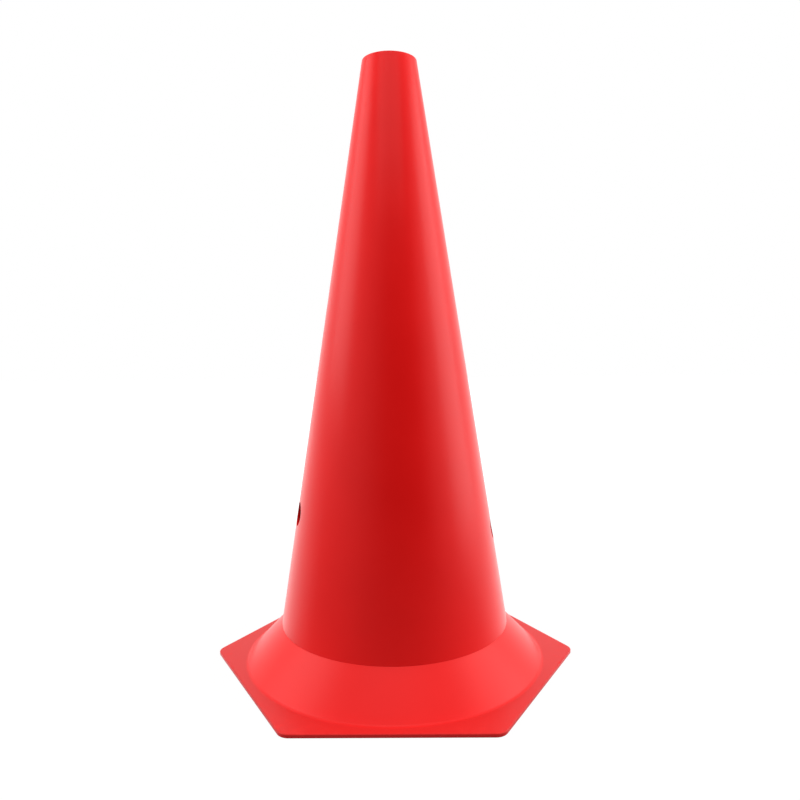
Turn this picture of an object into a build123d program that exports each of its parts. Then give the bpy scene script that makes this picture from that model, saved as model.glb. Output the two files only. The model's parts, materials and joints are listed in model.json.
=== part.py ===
from build123d import *
from math import cos, hypot, radians, sin
import os

# Sports marker cone: a hollow tapered body whose spigot plugs into the socket of a hexagonal base.
# +Z is up, the origin is the middle of the underside, -Y is the front, and two hexagon corners lie on X.
# Lengths are in millimetres and angles in degrees. Radii are to the outside unless the name says otherwise.

# Cone body
overall_height = 500.0
mouth_radius = 22.4
cone_foot_radius = 96.9
cone_wall = 2.0
mouth_rounding = 0.8

# Hexagonal base
seam_height = 33.2
across_flats = 269.0
corner_rounding = 10.0
flange_thickness = 3.0
flange_top_rounding = 0.8
flange_bottom_rounding = 0.5
flange_ledge = 8.5
skirt_wall = 2.5
skirt_fillet = 4.0

# Plug joint: the cone's shoulder rests on the base's rim, and its spigot hangs inside the socket
rim_width = 2.2
plug_clearance = 0.2
spigot_length = 14.0
spigot_wall = 2.5
spigot_lead = 1.0
socket_wall = 2.5
socket_overrun = 2.0

# Side holes for the ends of two bars, with their heights and their turns from the front, seen from above
bar_hole_diameter = 20.0
left_hole_height = 129.2
left_hole_turn = 76.3
right_hole_height = 114.6
right_hole_turn = 83.5

# Radii of the plug joint
socket_bore_radius = cone_foot_radius - rim_width
socket_radius = socket_bore_radius + socket_wall
spigot_radius = socket_bore_radius - plug_clearance
spigot_bore_radius = spigot_radius - spigot_wall
spigot_end = seam_height - spigot_length
socket_end = spigot_end - socket_overrun

# The cone's taper, and where its inside meets the spigot's straight bore
taper = (cone_foot_radius - mouth_radius) / (overall_height - seam_height)
level_cone_wall = cone_wall * hypot(1.0, taper)
mouth_bore_radius = mouth_radius - level_cone_wall
bore_top = seam_height + (cone_foot_radius - level_cone_wall - spigot_bore_radius) / taper

# The skirt's foot leaves the flange a ledge beside each flat, and its slope gives where its inside meets
# the floor and the socket's outside
skirt_foot_radius = across_flats / 2 - flange_ledge
skirt_run = skirt_foot_radius - cone_foot_radius
skirt_drop = seam_height - flange_thickness
level_skirt_wall = skirt_wall * hypot(1.0, skirt_run / skirt_drop)
hollow_foot_radius = skirt_foot_radius + flange_thickness * skirt_run / skirt_drop - level_skirt_wall
hollow_top = (hollow_foot_radius - socket_radius) * skirt_drop / skirt_run


def hole_plane(height, turn, side):
    """A plane square to the cone's wall at a height, turned from the front to the left (-1) or right (1)."""
    radius = cone_foot_radius - taper * (height - seam_height)
    outward = Vector(side * sin(radians(turn)), -cos(radians(turn)), 0)
    return Plane(origin=outward * radius + Vector(0, 0, height), z_dir=outward + Vector(0, 0, taper))


left_hole = hole_plane(left_hole_height, left_hole_turn, -1)
right_hole = hole_plane(right_hole_height, right_hole_turn, 1)

# Cone body: a tapered tube with a thick foot, a shoulder and a straight spigot
with BuildPart() as cone_body:
    with BuildSketch(Plane.XZ) as cone_section:
        with BuildLine() as cone_outline:
            Polyline(
                (cone_foot_radius, seam_height),
                (mouth_radius, overall_height),
                (mouth_bore_radius, overall_height),
                (spigot_bore_radius, bore_top),
                (spigot_bore_radius, spigot_end),
                (spigot_radius, spigot_end),
                (spigot_radius, seam_height),
                close=True,
            )
        make_face()
    revolve(axis=Axis.Z)
    fillet(cone_body.edges().group_by(Axis.Z)[-1], radius=mouth_rounding)
    spigot_edges = cone_body.edges().group_by(Axis.Z)[0].filter_by(GeomType.CIRCLE)
    chamfer(spigot_edges.sort_by(SortBy.RADIUS)[-1], length=spigot_lead)
    with BuildSketch(left_hole, right_hole) as bar_holes:
        Circle(bar_hole_diameter / 2)
    extrude(amount=bar_hole_diameter, both=True, mode=Mode.SUBTRACT)

# Hexagonal base: a flat flange, a conical skirt and a socket that hangs inside the skirt's rim
with BuildPart() as hex_base:
    with BuildSketch() as flange_outline:
        RegularPolygon(across_flats / 2, side_count=6, major_radius=False)
        fillet(flange_outline.vertices(), radius=corner_rounding)
    extrude(amount=flange_thickness)
    with BuildSketch(Plane.XZ) as skirt_section:
        with BuildLine() as skirt_outline:
            Polyline(
                (0, 0),
                (skirt_foot_radius, 0),
                (skirt_foot_radius, flange_thickness),
                (cone_foot_radius, seam_height),
                (0, seam_height),
                close=True,
            )
        make_face()
    revolve(axis=Axis.Z)
    skirt_foot = hex_base.edges().filter_by(GeomType.CIRCLE).filter_by_position(
        Axis.Z, flange_thickness, flange_thickness
    )
    fillet(skirt_foot.sort_by(SortBy.RADIUS)[-1], radius=skirt_fillet)
    flange_top = hex_base.faces().filter_by(Axis.Z).filter_by_position(
        Axis.Z, flange_thickness, flange_thickness
    )
    fillet(flange_top.face().outer_wire().edges(), radius=flange_top_rounding)
    fillet(hex_base.faces().sort_by(Axis.Z)[0].outer_wire().edges(), radius=flange_bottom_rounding)
    with BuildSketch(Plane.XZ) as hollow_section:
        with BuildLine() as hollow_outline:
            Polyline(
                (0, 0),
                (hollow_foot_radius, 0),
                (socket_radius, hollow_top),
                (socket_radius, socket_end),
                (socket_bore_radius, socket_end),
                (socket_bore_radius, seam_height),
                (0, seam_height),
                close=True,
            )
        make_face()
    revolve(axis=Axis.Z, mode=Mode.SUBTRACT)

os.makedirs("parts", exist_ok=True)
cone_body.part.label = "cone_body"
export_step(cone_body.part, "parts/cone_body.step")
hex_base.part.label = "hex_base"
export_step(hex_base.part, "parts/hex_base.step")
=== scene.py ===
"""Looks of a sports marker cone: a satin red body plugged into a hexagonal base, on a pale floor."""
import json
import logging
import math
from dataclasses import dataclass
from enum import Enum
from typing import Any, Callable, ClassVar, Mapping, Sequence, Union

import bpy
from mathutils import Matrix, Vector


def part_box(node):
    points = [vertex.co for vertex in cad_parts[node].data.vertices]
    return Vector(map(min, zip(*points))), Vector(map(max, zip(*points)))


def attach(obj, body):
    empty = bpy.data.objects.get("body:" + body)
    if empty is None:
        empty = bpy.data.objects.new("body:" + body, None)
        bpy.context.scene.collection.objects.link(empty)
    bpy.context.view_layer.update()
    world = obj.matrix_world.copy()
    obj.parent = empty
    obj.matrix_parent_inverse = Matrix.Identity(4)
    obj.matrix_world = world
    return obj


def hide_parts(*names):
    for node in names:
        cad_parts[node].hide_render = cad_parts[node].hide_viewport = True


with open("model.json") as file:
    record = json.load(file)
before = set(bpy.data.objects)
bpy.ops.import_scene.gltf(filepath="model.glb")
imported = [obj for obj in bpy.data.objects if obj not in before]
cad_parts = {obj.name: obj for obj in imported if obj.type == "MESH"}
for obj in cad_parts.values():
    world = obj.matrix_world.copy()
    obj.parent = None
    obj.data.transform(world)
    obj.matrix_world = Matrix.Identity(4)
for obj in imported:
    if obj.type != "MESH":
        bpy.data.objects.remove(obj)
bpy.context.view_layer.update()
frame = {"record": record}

LOG = logging.getLogger("marker_cone")
MM = 0.001
TURN = 2.0 * math.pi

# Points that lie closer than this become one, and an edge that bends more than this is drawn sharp
WELD = 0.001 * MM
CREASE = math.radians(32.0)

Value = Union["Wire", float]
Colour = tuple[float, float, float]
Point = tuple[float, float, float]


class Wire:
    """An output socket that takes part in Python expressions, each of which adds a Math node."""

    def __init__(self, bench: "Bench", socket: bpy.types.NodeSocket) -> None:
        """Keeps the socket and the bench that it belongs to."""
        self.bench = bench
        self.socket = socket

    def math(self, operation: str, *others: Value) -> "Wire":
        """Adds a Math node whose first value is this wire.

        Args:
            operation: the Math node's operation.
            others: its further values.

        Returns:
            The result.
        """
        return self.bench.math(operation, self, *others)

    def __add__(self, other: Value) -> "Wire":
        """This wire plus another value."""
        return self.math("ADD", other)

    def __radd__(self, other: Value) -> "Wire":
        """Another value plus this wire."""
        return self.bench.math("ADD", other, self)

    def __sub__(self, other: Value) -> "Wire":
        """This wire less another value."""
        return self.math("SUBTRACT", other)

    def __rsub__(self, other: Value) -> "Wire":
        """Another value less this wire."""
        return self.bench.math("SUBTRACT", other, self)

    def __mul__(self, other: Value) -> "Wire":
        """This wire times another value."""
        return self.math("MULTIPLY", other)

    def __rmul__(self, other: Value) -> "Wire":
        """Another value times this wire."""
        return self.bench.math("MULTIPLY", other, self)

    def __truediv__(self, other: Value) -> "Wire":
        """This wire divided by another value."""
        return self.math("DIVIDE", other)

    def __rtruediv__(self, other: Value) -> "Wire":
        """Another value divided by this wire."""
        return self.bench.math("DIVIDE", other, self)

    def __mod__(self, other: Value) -> "Wire":
        """What is left of this wire after whole steps of another value."""
        return self.math("MODULO", other)

    def __rmod__(self, other: Value) -> "Wire":
        """What is left of another value after whole steps of this wire."""
        return self.bench.math("MODULO", other, self)

    def __gt__(self, other: Value) -> "Wire":
        """One where this wire is greater than another value, and zero elsewhere."""
        return self.math("GREATER_THAN", other)

    def __lt__(self, other: Value) -> "Wire":
        """One where this wire is less than another value, and zero elsewhere."""
        return self.math("LESS_THAN", other)

    def smooth(self, low: float, high: float) -> "Wire":
        """A smooth step, which may also run downwards.

        Args:
            low: where the step leaves zero.
            high: where it reaches one.

        Returns:
            The step.
        """
        step = self.bench.add(
            "ShaderNodeMapRange",
            {"interpolation_type": "SMOOTHSTEP"},
            {"Value": self, "From Min": low, "From Max": high},
        )
        return self.bench.wire(step, "Result")


class Bench:
    """A node tree that is being wired."""

    def __init__(self, tree: bpy.types.NodeTree) -> None:
        """Keeps the tree."""
        self.tree = tree

    def add(
        self,
        kind: str,
        settings: Mapping[str, Any] | None = None,
        sockets: Mapping[str | int, Any] | None = None,
    ) -> bpy.types.Node:
        """Adds any node.

        Args:
            kind: the node's type.
            settings: its properties, which are set first; "items" counts an Index Switch's values.
            sockets: the values or wires of its inputs, by name or by number.

        Returns:
            The node.
        """
        node = self.tree.nodes.new(kind)
        for name, value in (settings or {}).items():
            if name == "items":
                while len(node.index_switch_items) < value:
                    node.index_switch_items.new()
            else:
                setattr(node, name, value)
        for key, value in (sockets or {}).items():
            socket = self.find(node.inputs, key)
            if isinstance(value, Wire):
                self.tree.links.new(value.socket, socket)
            else:
                socket.default_value = value
        return node

    @staticmethod
    def find(sockets: Sequence[bpy.types.NodeSocket], key: str | int) -> bpy.types.NodeSocket:
        """Finds a node's socket.

        Args:
            sockets: the node's inputs or outputs.
            key: the socket's number or its name.

        Returns:
            The socket with that number, or the first one in use with that name.
        """
        if isinstance(key, int):
            return sockets[key]
        return next(socket for socket in sockets if socket.name == key and socket.enabled)

    def wire(self, node: bpy.types.Node, output: str | int = 0) -> Wire:
        """One of a node's outputs as a wire."""
        return Wire(self, self.find(node.outputs, output))

    def math(self, operation: str, *values: Value) -> Wire:
        """Adds a Math node with these values."""
        node = self.add("ShaderNodeMath", {"operation": operation}, dict(enumerate(values)))
        return self.wire(node)

    def vector(self, x: Value, y: Value, z: Value) -> Wire:
        """Three values as one vector."""
        return self.wire(self.add("ShaderNodeCombineXYZ", None, {"X": x, "Y": y, "Z": z}))

    def split(self, vector: Wire) -> tuple[Wire, Wire, Wire]:
        """The three values of a vector."""
        node = self.add("ShaderNodeSeparateXYZ", None, {"Vector": vector})
        return self.wire(node, "X"), self.wire(node, "Y"), self.wire(node, "Z")

    def blend(self, factor: Value, first: Any, second: Any) -> Wire:
        """A mix of two colours."""
        sockets = {"Factor": factor, "A": first, "B": second}
        return self.wire(self.add("ShaderNodeMix", {"data_type": "RGBA"}, sockets), "Result")


class ShapeBench(Bench):
    """A Geometry Nodes tree with named inputs, which becomes a plain mesh."""

    def __init__(self, name: str) -> None:
        """Starts an empty tree.

        Args:
            name: the tree's name.
        """
        super().__init__(bpy.data.node_groups.new(name, "GeometryNodeTree"))
        self.tree.interface.new_socket("Geometry", in_out="OUTPUT", socket_type="NodeSocketGeometry")
        self.entry = self.tree.nodes.new("NodeGroupInput")
        self.values: dict[str, Any] = {}

    def size(self, name: str, value: Any, kind: str = "NodeSocketFloat") -> Wire:
        """Adds a named input.

        Args:
            name: the input's name.
            value: what the modifier sets it to.
            kind: the type of its socket.

        Returns:
            The input as a wire.
        """
        socket = self.tree.interface.new_socket(name, in_out="INPUT", socket_type=kind)
        self.values[socket.identifier] = value
        return self.wire(self.entry, name)

    def pick(self, kind: str, index: Wire, choices: Sequence[Any]) -> Wire:
        """One of several values, chosen by an index.

        Args:
            kind: the values' data type.
            index: the number of the chosen value.
            choices: the values or wires.

        Returns:
            The chosen value.
        """
        settings = {"data_type": kind, "items": len(choices)}
        sockets = {"Index": index, **{str(number): choice for number, choice in enumerate(choices)}}
        return self.wire(self.add("GeometryNodeIndexSwitch", settings, sockets))

    def section(self, corners: Sequence["Corner"], arc_steps: int, cell: float) -> Wire:
        """A closed section, with its radius in X and its height in Z.

        Args:
            corners: the section's corners, anticlockwise with the radius to the right.
            arc_steps: the steps of each rounding.
            cell: the longest step along a straight run.

        Returns:
            The section's curve.
        """
        index = self.wire(self.add("GeometryNodeInputIndex"))
        spots = [self.vector(corner.radius, 0.0, corner.height) for corner in corners]
        places = self.pick("VECTOR", index, spots)
        roundings = self.pick("FLOAT", index, [corner.rounding for corner in corners])
        line = self.add("GeometryNodeMeshLine", None, {"Count": len(corners)})
        curve = self.add("GeometryNodeMeshToCurve", None, {"Mesh": self.wire(line)})
        sockets = {"Geometry": self.wire(curve), "Cyclic": True}
        loop = self.add("GeometryNodeSetSplineCyclic", None, sockets)
        sockets = {"Geometry": self.wire(loop), "Position": places}
        bent = self.add("GeometryNodeSetPosition", None, sockets)
        rounded = self.add(
            "GeometryNodeFilletCurve",
            {"mode": "POLY"},
            {"Curve": self.wire(bent), "Count": arc_steps, "Radius": roundings, "Limit Radius": True},
        )
        here = self.wire(self.add("GeometryNodeInputPosition"))
        step = self.add("GeometryNodeOffsetPointInCurve", None, {"Offset": 1})
        sockets = {"Value": here, "Index": self.wire(step, "Point Index")}
        there = self.add("GeometryNodeFieldAtIndex", {"data_type": "FLOAT_VECTOR"}, sockets)
        sockets = {0: here, 1: self.wire(there)}
        run = self.add("ShaderNodeVectorMath", {"operation": "DISTANCE"}, sockets)
        cuts = (self.wire(run, "Value") / cell).math("FLOOR")
        sockets = {"Curve": self.wire(rounded), "Cuts": cuts}
        return self.wire(self.add("GeometryNodeSubdivideCurve", None, sockets))

    def around(self, radius: Wire, height: Wire, angle: Wire) -> Wire:
        """A point at a radius and a height, in a direction from the upright axis."""
        return self.vector(radius * angle.math("COSINE"), radius * angle.math("SINE"), height)

    def turned(self, section: Wire, turns: int, place: Callable[[Wire, Wire, Wire], Wire]) -> Wire:
        """A section carried once around the upright axis.

        Args:
            section: the section's curve.
            turns: the steps around the axis.
            place: gives a point from its radius, its height and its angle.

        Returns:
            The closed mesh.
        """
        sockets = {"Geometry": section}
        length = self.add("GeometryNodeAttributeDomainSize", {"component": "CURVE"}, sockets)
        count = self.wire(length, "Point Count")
        rows = count + 1.0
        grid = self.add("GeometryNodeMeshGrid", None, {"Vertices X": turns + 1, "Vertices Y": rows})
        index = self.wire(self.add("GeometryNodeInputIndex"))
        column = (index / rows).math("FLOOR")
        row = (index - column * rows) % count
        here = self.wire(self.add("GeometryNodeInputPosition"))
        sample = self.add(
            "GeometryNodeSampleIndex",
            {"data_type": "FLOAT_VECTOR", "domain": "POINT"},
            {"Geometry": section, "Value": here, "Index": row},
        )
        radius, _, height = self.split(self.wire(sample))
        point = place(radius, height, column * (TURN / turns))
        sockets = {"Geometry": self.wire(grid), "Position": point}
        moved = self.add("GeometryNodeSetPosition", None, sockets)
        sockets = {"Geometry": self.wire(moved), "Distance": WELD}
        return self.wire(self.add("GeometryNodeMergeByDistance", None, sockets))

    def drilled(self, shape: Wire, bores: Sequence["Bore"], sides: int) -> Wire:
        """A shape with round holes cut through it.

        Args:
            shape: the closed mesh.
            bores: the holes, all of one radius.
            sides: the steps around each hole.

        Returns:
            The cut mesh.
        """
        index = self.wire(self.add("GeometryNodeInputIndex"))
        kind = "NodeSocketVector"
        places = [self.size(f"{bore.name} Place", bore.place, kind) for bore in bores]
        axes = [self.size(f"{bore.name} Axis", bore.axis, kind) for bore in bores]
        radius = self.size("Hole Radius", bores[0].radius)
        sockets = {"Vertices": sides, "Radius": radius, "Depth": radius * 2.0}
        drill = self.add("GeometryNodeMeshCylinder", None, sockets)
        sockets = {"Count": len(bores), "Position": self.pick("VECTOR", index, places)}
        points = self.add("GeometryNodePoints", None, sockets)
        sockets = {"Vector": self.pick("VECTOR", index, axes)}
        aim = self.add("FunctionNodeAlignRotationToVector", {"axis": "Z"}, sockets)
        drills = self.add(
            "GeometryNodeInstanceOnPoints",
            None,
            {"Points": self.wire(points), "Instance": self.wire(drill), "Rotation": self.wire(aim)},
        )
        real = self.add("GeometryNodeRealizeInstances", None, {"Geometry": self.wire(drills)})
        sockets = {"Mesh 1": shape, "Mesh 2": self.wire(real)}
        settings = {"operation": "DIFFERENCE", "solver": "EXACT"}
        return self.wire(self.add("GeometryNodeMeshBoolean", settings, sockets))

    def bake(self, name: str, shape: Wire, material: bpy.types.Material) -> bpy.types.Object:
        """Ends the tree and turns its result into a plain mesh.

        Args:
            name: the piece's name.
            shape: the tree's result.
            material: the piece's material.

        Returns:
            The piece, at the origin and with no modifier left.
        """
        smooth = self.add("GeometryNodeSetShadeSmooth", {"domain": "FACE"}, {"Geometry": shape})
        bend = self.wire(self.add("GeometryNodeInputMeshEdgeAngle"), "Unsigned Angle")
        sharp = self.add(
            "GeometryNodeSetShadeSmooth",
            {"domain": "EDGE"},
            {"Geometry": self.wire(smooth), "Selection": bend > CREASE, "Shade Smooth": False},
        )
        real = self.add("GeometryNodeRealizeInstances", None, {"Geometry": self.wire(sharp)})
        sockets = {"Geometry": self.wire(real), "Material": material}
        dressed = self.add("GeometryNodeSetMaterial", None, sockets)
        self.add("NodeGroupOutput", None, {"Geometry": self.wire(dressed)})
        piece = bpy.data.objects.new(name, bpy.data.meshes.new(f"{name}_start"))
        bpy.context.scene.collection.objects.link(piece)
        maker = piece.modifiers.new("maker", "NODES")
        maker.node_group = self.tree
        for identifier, value in self.values.items():
            maker[identifier] = value
        shading = piece.modifiers.new("shading", "WEIGHTED_NORMAL")
        shading.keep_sharp = True
        evaluated = piece.evaluated_get(bpy.context.evaluated_depsgraph_get())
        mesh = bpy.data.meshes.new_from_object(evaluated)
        mesh.name = name
        piece.modifiers.clear()
        piece.data = mesh
        return piece


@dataclass(frozen=True)
class Corner:
    """A corner of a turned section."""

    radius: Value
    height: Value
    rounding: Value = 0.0


@dataclass(frozen=True)
class Bore:
    """A round hole, with a point on its axis."""

    name: str
    place: Point
    axis: Point
    radius: float

    @classmethod
    def from_mount(cls, mount: Mapping[str, Any]) -> "Bore":
        """The hole that a mount of the record states."""
        name = mount["name"].replace("_", " ").title()
        return cls(name, tuple(mount["pos_m"]), tuple(mount["axis"]), mount["dims"]["r_mm"] * MM)


class Along(Enum):
    """What a zone of a piece is measured along."""

    RADIUS = "radius"
    HEIGHT = "height"


@dataclass(frozen=True)
class Zone:
    """A zone of a piece, which sets in gradually."""

    along: Along
    start: float
    full: float

    def wire(self, bench: Bench, place: Wire) -> Wire:
        """Measures how far a point lies in the zone.

        Args:
            bench: the material's tree.
            place: the coordinates.

        Returns:
            Zero before the zone starts, and one where it is full.
        """
        x, y, z = bench.split(place)
        measure = z if self.along is Along.HEIGHT else (x * x + y * y).math("SQRT")
        return measure.smooth(self.start, self.full)


@dataclass(frozen=True)
class Mottle:
    """Even noise with features of about one size."""

    size: float
    layers: float
    middle: ClassVar[float] = 0.5

    def wire(self, bench: Bench, place: Wire) -> Wire:
        """Adds the noise.

        Args:
            bench: the material's tree.
            place: the coordinates.

        Returns:
            The noise, which lies around its middle value.
        """
        sockets = {"Vector": place, "Scale": 1.0 / self.size, "Detail": self.layers}
        return bench.wire(bench.add("ShaderNodeTexNoise", None, sockets))


@dataclass(frozen=True)
class MouldedPlastic:
    """Satin plastic with a fine moulded grain, slight streaks of pigment and faint rubbed places.

    The flange is the zone that lies on the ground, which is painted darker as painted shade and pinker as a
    painted sheen. The gloss values say how much the streaks, the pores and the rubbing change the
    roughness.
    """

    name: str
    wear: Zone
    flange: Zone | None = None
    deep: Colour = (0.805, 0.0066, 0.0062)
    bright: Colour = (0.855, 0.0080, 0.0074)
    # Painted shade and painted sheen on the flange: a darker red with a pinker cast
    flange_tone: Colour = (0.695, 0.0190, 0.0180)
    rubbed_tone: Colour = (0.900, 0.0500, 0.0450)
    roughness: float = 0.31
    refraction: float = 1.5
    specular: float = 0.16
    streaks: Mottle = Mottle(60.0 * MM, 3.0)
    grain: Mottle = Mottle(0.9 * MM, 2.0)
    pores: Mottle = Mottle(0.28 * MM, 1.0)
    scuffs: Mottle = Mottle(7.0 * MM, 4.0)
    streak_band: tuple[float, float] = (0.25, 0.75)
    scuff_band: tuple[float, float] = (0.50, 0.72)
    streak_share: float = 0.8
    rubbed_share: float = 0.22
    streak_gloss: float = 0.06
    pore_gloss: float = 0.05
    rubbed_gloss: float = 0.12
    grain_share: float = 0.7
    grain_depth: float = 0.020 * MM
    grain_strength: float = 0.35

    def material(self) -> bpy.types.Material:
        """Builds the material from Object coordinates.

        Returns:
            The material.
        """
        material = bpy.data.materials.new(self.name)
        material.use_nodes = True
        material.node_tree.nodes.clear()
        bench = Bench(material.node_tree)
        place = bench.wire(bench.add("ShaderNodeTexCoord"), "Object")
        streaks = self.streaks.wire(bench, place)
        grain = self.grain.wire(bench, place)
        pores = self.pores.wire(bench, place)
        scuffs = self.scuffs.wire(bench, place).smooth(*self.scuff_band)
        rubbed = self.wear.wire(bench, place) * scuffs
        streaked = streaks.smooth(*self.streak_band)
        pigment = streaked * self.streak_share + grain * (1.0 - self.streak_share)
        colour = bench.blend(pigment, (*self.deep, 1.0), (*self.bright, 1.0))
        # The flange is painted darker as painted shade, and pinker as a painted sheen
        if self.flange is not None:
            colour = bench.blend(self.flange.wire(bench, place), colour, (*self.flange_tone, 1.0))
        colour = bench.blend(rubbed * self.rubbed_share, colour, (*self.rubbed_tone, 1.0))
        roughness = (
            self.roughness
            + (streaks - Mottle.middle) * self.streak_gloss
            + (pores - Mottle.middle) * self.pore_gloss
            + rubbed * self.rubbed_gloss
        )
        relief = grain * self.grain_share + pores * (1.0 - self.grain_share)
        bump = bench.add(
            "ShaderNodeBump",
            None,
            {"Strength": self.grain_strength, "Distance": self.grain_depth, "Height": relief},
        )
        surface = bench.add(
            "ShaderNodeBsdfPrincipled",
            None,
            {
                "Base Color": colour,
                "Roughness": roughness,
                "IOR": self.refraction,
                "Specular IOR Level": self.specular,
                "Normal": bench.wire(bump),
            },
        )
        bench.add("ShaderNodeOutputMaterial", None, {"Surface": bench.wire(surface)})
        return material


@dataclass
class ConeBody:
    """The hollow tapered body with its open mouth, two bar holes and the spigot below its shoulder.

    The cell, the turns, the arc steps and the hole sides say how fine the mesh is.
    """

    height: float
    seam: float
    spigot_end: float
    foot_radius: float
    bores: list[Bore]
    mouth_radius: float = 22.4 * MM
    wall: float = 2.0 * MM
    spigot_radius: float = 94.5 * MM
    spigot_wall: float = 2.5 * MM
    spigot_lead: float = 1.0 * MM
    mouth_rounding: float = 0.8 * MM
    shoulder_rounding: float = 0.2 * MM
    lip_wear: float = 8.0 * MM
    cell: float = 6.0 * MM
    turns: int = 240
    arc_steps: int = 5
    hole_sides: int = 72

    @classmethod
    def from_frame(cls) -> "ConeBody":
        """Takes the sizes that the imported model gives.

        Returns:
            The cone body.
        """
        low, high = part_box("cone_body")
        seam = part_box("hex_base")[1].z
        mounts = frame["record"]["mounts"]
        bores = [Bore.from_mount(mount) for mount in mounts if mount["kind"] == "bore"]
        return cls(high.z, seam, low.z, high.x, bores)

    def build(self) -> bpy.types.Object:
        """Turns the section, drills the bar holes and dresses the piece.

        Returns:
            The piece.
        """
        bench = ShapeBench("cone_body_shape")
        height = bench.size("Height", self.height)
        seam = bench.size("Seam Height", self.seam)
        foot = bench.size("Foot Radius", self.foot_radius)
        mouth = bench.size("Mouth Radius", self.mouth_radius)
        wall = bench.size("Wall", self.wall)
        end = bench.size("Spigot End", self.spigot_end)
        spigot = bench.size("Spigot Radius", self.spigot_radius)
        bore = spigot - bench.size("Spigot Wall", self.spigot_wall)
        lead = bench.size("Spigot Lead", self.spigot_lead)
        mouth_edge = bench.size("Mouth Rounding", self.mouth_rounding)
        edge = bench.size("Shoulder Rounding", self.shoulder_rounding)
        taper = (foot - mouth) / (height - seam)
        level_wall = wall * (taper * taper + 1.0).math("SQRT")
        bore_top = seam + (foot - level_wall - bore) / taper
        section = bench.section(
            [
                Corner(foot, seam, edge),
                Corner(mouth, height, mouth_edge),
                Corner(mouth - level_wall, height, mouth_edge),
                Corner(bore, bore_top),
                Corner(bore, end, edge),
                Corner(spigot - lead, end),
                Corner(spigot, end + lead),
                Corner(spigot, seam),
            ],
            arc_steps=self.arc_steps,
            cell=self.cell,
        )
        body = bench.turned(section, self.turns, bench.around)
        holed = bench.drilled(body, self.bores, self.hole_sides)
        lip = Zone(Along.HEIGHT, self.height - self.lip_wear, self.height)
        finish = MouldedPlastic("cone_plastic", wear=lip)
        piece = bench.bake("tapered_body", holed, finish.material())
        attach(piece, "cone")
        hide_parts("cone_body")
        return piece


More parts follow.
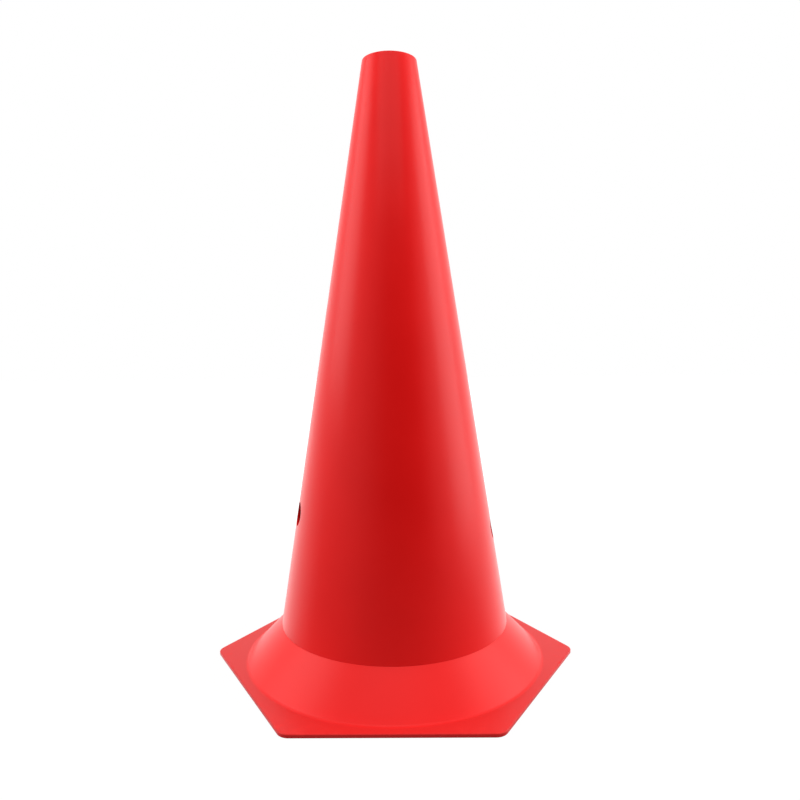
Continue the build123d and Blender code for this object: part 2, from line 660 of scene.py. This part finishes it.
@dataclass
class HexBase:
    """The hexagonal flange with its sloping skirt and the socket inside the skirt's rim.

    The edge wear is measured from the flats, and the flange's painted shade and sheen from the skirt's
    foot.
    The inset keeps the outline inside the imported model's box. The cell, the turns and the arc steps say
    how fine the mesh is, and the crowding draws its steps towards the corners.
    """

    seam: float
    apothem: float
    reach: float
    rim_radius: float
    flange: float = 3.0 * MM
    ledge: float = 8.5 * MM
    top_rounding: float = 0.8 * MM
    bottom_rounding: float = 0.5 * MM
    rim_rounding: float = 0.2 * MM
    skirt_fillet: float = 4.0 * MM
    skirt_wall: float = 2.5 * MM
    rim_width: float = 2.2 * MM
    socket_wall: float = 2.5 * MM
    socket_end: float = 17.2 * MM
    edge_wear: tuple[float, float] = (-4.0 * MM, 12.0 * MM)
    # Where the flange's painted shade and sheen set in, measured from the skirt's foot
    flange_blend: tuple[float, float] = (-2.0 * MM, 3.0 * MM)
    cell: float = 3.0 * MM
    turns: int = 360
    arc_steps: int = 6
    corner_crowding: float = 0.72
    inset: ClassVar[float] = 0.01 * MM
    sides: ClassVar[int] = 6
    half_side: ClassVar[float] = math.pi / sides

    @classmethod
    def from_frame(cls) -> "HexBase":
        """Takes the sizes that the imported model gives."""
        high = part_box("hex_base")[1]
        return cls(high.z, high.y - cls.inset, high.x - cls.inset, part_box("cone_body")[1].x)

    @property
    def corner_rounding(self) -> float:
        """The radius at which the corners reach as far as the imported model."""
        stretch = 1.0 / math.cos(self.half_side)
        return (self.apothem * stretch - self.reach) / (stretch - 1.0)

    def build(self) -> bpy.types.Object:
        """Turns the section, draws its flange out to the hexagon and dresses the piece.

        Returns:
            The piece.
        """
        bench = ShapeBench("hex_base_shape")
        seam = bench.size("Seam Height", self.seam)
        apothem = bench.size("Half Across Flats", self.apothem)
        rim = bench.size("Rim Radius", self.rim_radius)
        flange = bench.size("Flange Thickness", self.flange)
        foot = apothem - bench.size("Ledge", self.ledge)
        rounding = bench.size("Corner Rounding", self.corner_rounding)
        top = bench.size("Top Rounding", self.top_rounding)
        bottom = bench.size("Bottom Rounding", self.bottom_rounding)
        edge = bench.size("Rim Rounding", self.rim_rounding)
        fillet = bench.size("Skirt Fillet", self.skirt_fillet)
        wall = bench.size("Skirt Wall", self.skirt_wall)
        bore = rim - bench.size("Rim Width", self.rim_width)
        socket = bore + bench.size("Socket Wall", self.socket_wall)
        end = bench.size("Socket End", self.socket_end)
        slope = (foot - rim) / (seam - flange)
        level_wall = wall * (slope * slope + 1.0).math("SQRT")
        hollow_foot = foot + flange * slope - level_wall
        hollow_top = (hollow_foot - socket) / slope
        section = bench.section(
            [
                Corner(apothem, 0.0, bottom),
                Corner(apothem, flange, top),
                Corner(foot, flange, fillet),
                Corner(rim, seam, edge),
                Corner(bore, seam, edge),
                Corner(bore, end, edge),
                Corner(socket, end, edge),
                Corner(socket, hollow_top),
                Corner(hollow_foot, 0.0, edge),
            ],
            arc_steps=self.arc_steps,
            cell=self.cell,
        )
        outer = foot + fillet

        def place(radius: Wire, height: Wire, angle: Wire) -> Wire:
            """A point of the base, on a circle up to the skirt's foot and on a rounded hexagon beyond it.

            Args:
                radius: the point's distance from the axis in the section.
                height: its height.
                angle: its direction, which is drawn towards the corners.

            Returns:
                The point.
            """
            crowding = (angle * self.sides).math("SINE") * (self.corner_crowding / self.sides)
            turned = angle - crowding
            reach = self.hexagon(radius, rounding - (apothem - radius), turned)
            distance = radius + (reach - radius) * (radius > outer)
            return bench.around(distance, height, turned)

        skirt_foot = self.apothem - self.ledge
        finish = MouldedPlastic(
            "base_plastic",
            wear=Zone(Along.RADIUS, *(self.apothem + offset for offset in self.edge_wear)),
            # The flange zone carries painted shade and a painted sheen
            flange=Zone(Along.RADIUS, *(skirt_foot + offset for offset in self.flange_blend)),
            # The base's paler, pinker red is partly a lighter pigment and partly a painted sheen
            deep=(0.890, 0.0150, 0.0140),
            bright=(0.940, 0.0170, 0.0160),
            roughness=0.37,
        )
        shape = bench.turned(section, self.turns, place)
        piece = bench.bake("hexagonal_base", shape, finish.material())
        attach(piece, "base")
        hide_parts("hex_base")
        return piece

    @classmethod
    def hexagon(cls, apothem: Wire, rounding: Wire, angle: Wire) -> Wire:
        """The radius of a rounded hexagon with two corners on X.

        Args:
            apothem: the distance from the middle to a flat.
            rounding: the radius of its corners.
            angle: the direction from the middle.

        Returns:
            The distance from the middle to the outline in that direction.
        """
        half = cls.half_side
        off_flat = ((angle + TURN) % (2.0 * half) - half).math("ABSOLUTE")
        off_corner = half - off_flat
        flat = apothem / off_flat.math("COSINE")
        centre = (apothem - rounding) / math.cos(half)
        across = centre * off_corner.math("SINE")
        inside = (rounding * rounding - across * across).math("MAXIMUM", 0.0)
        corner = centre * off_corner.math("COSINE") + inside.math("SQRT")
        tangent = ((apothem - rounding) * math.tan(half)).math("ARCTAN2", apothem)
        return flat + (corner - flat) * (off_flat > tangent)


@dataclass(frozen=True)
class Softbox:
    """A soft rectangular lamp; a radiance of one is white."""

    name: str
    place: Point
    aim: Point
    width: float
    height: float
    radiance: float

    def light(self) -> bpy.types.Object:
        """Sets up the lamp, unseen by the camera.

        Returns:
            The lamp.
        """
        lamp = bpy.data.lights.new(self.name, "AREA")
        lamp.shape = "RECTANGLE"
        lamp.size = self.width
        lamp.size_y = self.height
        lamp.energy = self.radiance * math.pi * self.width * self.height
        holder = bpy.data.objects.new(self.name, lamp)
        holder.location = self.place
        beam = Vector(self.aim) - Vector(self.place)
        holder.rotation_euler = beam.to_track_quat("-Z", "Y").to_euler()
        holder.visible_camera = False
        bpy.context.scene.collection.objects.link(holder)
        return holder


@dataclass(frozen=True)
class Studio:
    """The pale floor, the surroundings and the lamps.

    Levels are radiances, where one is white. Each edge, back and ceiling of the surroundings is a pair of
    degrees between which one level passes into the next: an edge or a back by its turn from the camera
    side, positive to the right, and a ceiling by its height above the horizon. Each reach on the floor is
    a pair of distances from the axis, and sheen_from is a pair of places along Y.
    """

    room: float = 0.02
    left: float = 1.15
    right: float = 1.35
    rear: float = 1.50
    overhead: float = 0.82
    left_edge: tuple[float, float] = (0.0, -60.0)
    right_edge: tuple[float, float] = (38.0, 62.0)
    left_back: tuple[float, float] = (-95.0, -135.0)
    right_back: tuple[float, float] = (95.0, 135.0)
    side_ceiling: tuple[float, float] = (4.0, 48.0)
    room_ceiling: tuple[float, float] = (20.0, 68.0)
    back_ceiling: tuple[float, float] = (5.0, 45.0)
    floor_tone: float = 0.18
    inner_floor_tone: float = 0.70
    floor_size: float = 8.0
    open_floor: float = 0.18
    shadow_share: float = 0.20
    shadow_reach: tuple[float, float] = (0.25, 0.60)
    base_reach: tuple[float, float] = (0.126, 0.134)
    floor_sheen: float = 1.75
    front_sheen: float = 0.5
    sheen_from: tuple[float, float] = (-0.10, 0.05)
    softboxes: tuple[Softbox, ...] = (
        Softbox(
            "right_softbox",
            place=(0.88, 0.03, 0.50),
            aim=(0.0, 0.0, 0.25),
            width=0.6,
            height=0.9,
            radiance=3.3,
        ),
        Softbox(
            "left_softbox",
            place=(-0.86, -0.04, 0.70),
            aim=(0.0, 0.0, 0.35),
            width=0.6,
            height=0.7,
            radiance=3.3,
        ),
        Softbox(
            "top_softbox",
            place=(0.0, -0.30, 0.72),
            aim=(0.0, 0.0, 0.40),
            width=0.5,
            height=0.3,
            radiance=1.75,
        ),
    )

    def build(self) -> None:
        """Sets up the floor, the surroundings and the lamps."""
        self.floor()
        self.surroundings()
        for softbox in self.softboxes:
            softbox.light()

    @staticmethod
    def seen(bench: Bench) -> tuple[Wire, Wire]:
        """Whether a ray shows the background.

        Args:
            bench: the tree of the floor or the surroundings.

        Returns:
            One for camera rays, and one for glossy and transmission rays.
        """
        path = bench.add("ShaderNodeLightPath")
        passed = bench.wire(path, "Is Transmission Ray")
        mirrored = bench.wire(path, "Is Glossy Ray").math("MAXIMUM", passed)
        return bench.wire(path, "Is Camera Ray"), mirrored

    def surroundings(self) -> None:
        """A white background that lights the object like a room, dim in front and bright elsewhere."""
        world = bpy.data.worlds.new("studio")
        world.use_nodes = True
        world.node_tree.nodes.clear()
        bench = Bench(world.node_tree)
        camera, mirrored = self.seen(bench)
        x, y, z = bench.split(bench.wire(bench.add("ShaderNodeTexCoord"), "Generated"))
        turn = x.math("ARCTAN2", 0.0 - y).math("DEGREES")
        height = z.math("ARCSINE").math("DEGREES")
        leftward = turn.smooth(*self.left_edge)
        rightward = turn.smooth(*self.right_edge)
        behind_left = turn.smooth(*self.left_back)
        behind_right = turn.smooth(*self.right_back)
        behind = behind_left + behind_right
        around = (
            self.room
            + leftward * (self.left - self.room)
            + rightward * (self.right - self.room)
            + behind_left * (self.rear - self.left)
            + behind_right * (self.rear - self.right)
        )
        beside = height.smooth(*self.side_ceiling)
        before = height.smooth(*self.room_ceiling)
        above = height.smooth(*self.back_ceiling)
        up = before + (leftward + rightward) * (beside - before) + behind * (above - beside)
        light = around + up * (self.overhead - around)
        mirror = light.math("MAXIMUM", mirrored * behind)
        shown = mirror + camera * (1.0 - mirror)
        sockets = {"Color": bench.vector(shown, shown, shown)}
        background = bench.add("ShaderNodeBackground", None, sockets)
        bench.add("ShaderNodeOutputWorld", None, {"Surface": bench.wire(background)})
        bpy.context.scene.world = world

    def floor(self) -> None:
        """A pale floor that keeps a soft shadow and runs into the white background.

        Under the base it is a plain matt floor, so that the hollow stays dark inside.
        """
        half = self.floor_size / 2.0
        mesh = bpy.data.meshes.new("floor")
        corners = [(-half, -half, 0.0), (half, -half, 0.0), (half, half, 0.0), (-half, half, 0.0)]
        mesh.from_pydata(corners, [], [(0, 1, 2, 3)])
        floor = bpy.data.objects.new("floor", mesh)
        bpy.context.scene.collection.objects.link(floor)
        material = bpy.data.materials.new("pale_floor")
        material.use_nodes = True
        material.node_tree.nodes.clear()
        bench = Bench(material.node_tree)
        camera, mirrored = self.seen(bench)
        x, y, _ = bench.split(bench.wire(bench.add("ShaderNodeTexCoord"), "Object"))
        distance = (x * x + y * y).math("SQRT")
        far = distance.smooth(*self.shadow_reach)
        clear_of_base = distance.smooth(*self.base_reach)
        tone = self.inner_floor_tone + clear_of_base * (self.floor_tone - self.inner_floor_tone)
        matt = bench.add("ShaderNodeBsdfDiffuse", None, {"Color": bench.vector(tone, tone, tone)})

        # Where no shadow falls, the glow and the lit matt floor add up to white
        glow_share = 1.0 - self.shadow_share
        glow_level = (1.0 - self.shadow_share * self.open_floor) / glow_share
        level = glow_level + mirrored * (self.floor_sheen - glow_level)
        glow = bench.add("ShaderNodeEmission", None, {"Color": bench.vector(level, level, level)})
        shown = camera * (glow_share + far * self.shadow_share)
        rearward = y.smooth(*self.sheen_from)
        sheen = mirrored * (self.front_sheen + rearward * (1.0 - self.front_sheen))
        white = shown.math("MAXIMUM", sheen) * clear_of_base
        sockets = {0: white, 1: bench.wire(matt), 2: bench.wire(glow)}
        top = bench.add("ShaderNodeMixShader", None, sockets)

        # A camera below the floor looks through it
        below = bench.wire(bench.add("ShaderNodeNewGeometry"), "Backfacing")
        clear = bench.add("ShaderNodeBsdfTransparent")
        sockets = {0: below, 1: bench.wire(top), 2: bench.wire(clear)}
        both = bench.add("ShaderNodeMixShader", None, sockets)
        bench.add("ShaderNodeOutputMaterial", None, {"Surface": bench.wire(both)})
        material.cycles.emission_sampling = "NONE"
        mesh.materials.append(material)


@dataclass(frozen=True)
class PhotoCamera:
    """The photograph's camera, for a square picture. Angles are in radians and places in metres."""

    place: Point = (0.011485, -0.60193, 0.27652)
    pitch: float = 0.0897
    yaw: float = -0.0085
    roll: float = -0.0088
    focal_px: float = 710.32
    picture_px: float = 800.0
    sensor_mm: float = 36.0
    nearest: float = 0.01

    def build(self) -> bpy.types.Object:
        """Sets up the camera.

        Returns:
            The camera.
        """
        forward = Vector(
            (
                math.sin(self.yaw) * math.cos(self.pitch),
                math.cos(self.yaw) * math.cos(self.pitch),
                -math.sin(self.pitch),
            )
        )
        right = Vector((math.cos(self.yaw), -math.sin(self.yaw), 0.0))
        up = right.cross(forward)
        level = Matrix((right, up, -forward)).transposed()
        turned = level @ Matrix.Rotation(self.roll, 3, "Z")
        lens = bpy.data.cameras.new("photo_camera")
        lens.sensor_width = self.sensor_mm
        lens.lens = self.focal_px / self.picture_px * self.sensor_mm
        lens.clip_start = self.nearest
        camera = bpy.data.objects.new("photo_camera", lens)
        camera.matrix_world = Matrix.Translation(self.place) @ turned.to_4x4()
        bpy.context.scene.collection.objects.link(camera)
        bpy.context.scene.camera = camera
        return camera


def main() -> None:
    """Builds the pieces in order, then the studio and the camera."""
    logging.basicConfig(level=logging.INFO, format="%(name)s: %(message)s")
    bpy.context.scene.view_settings.view_transform = "Standard"
    for part in (ConeBody.from_frame(), HexBase.from_frame()):
        piece = part.build()
        LOG.info("%s: %d faces", piece.name, len(piece.data.polygons))
    Studio().build()
    PhotoCamera().build()


if __name__ == "__main__":
    main()
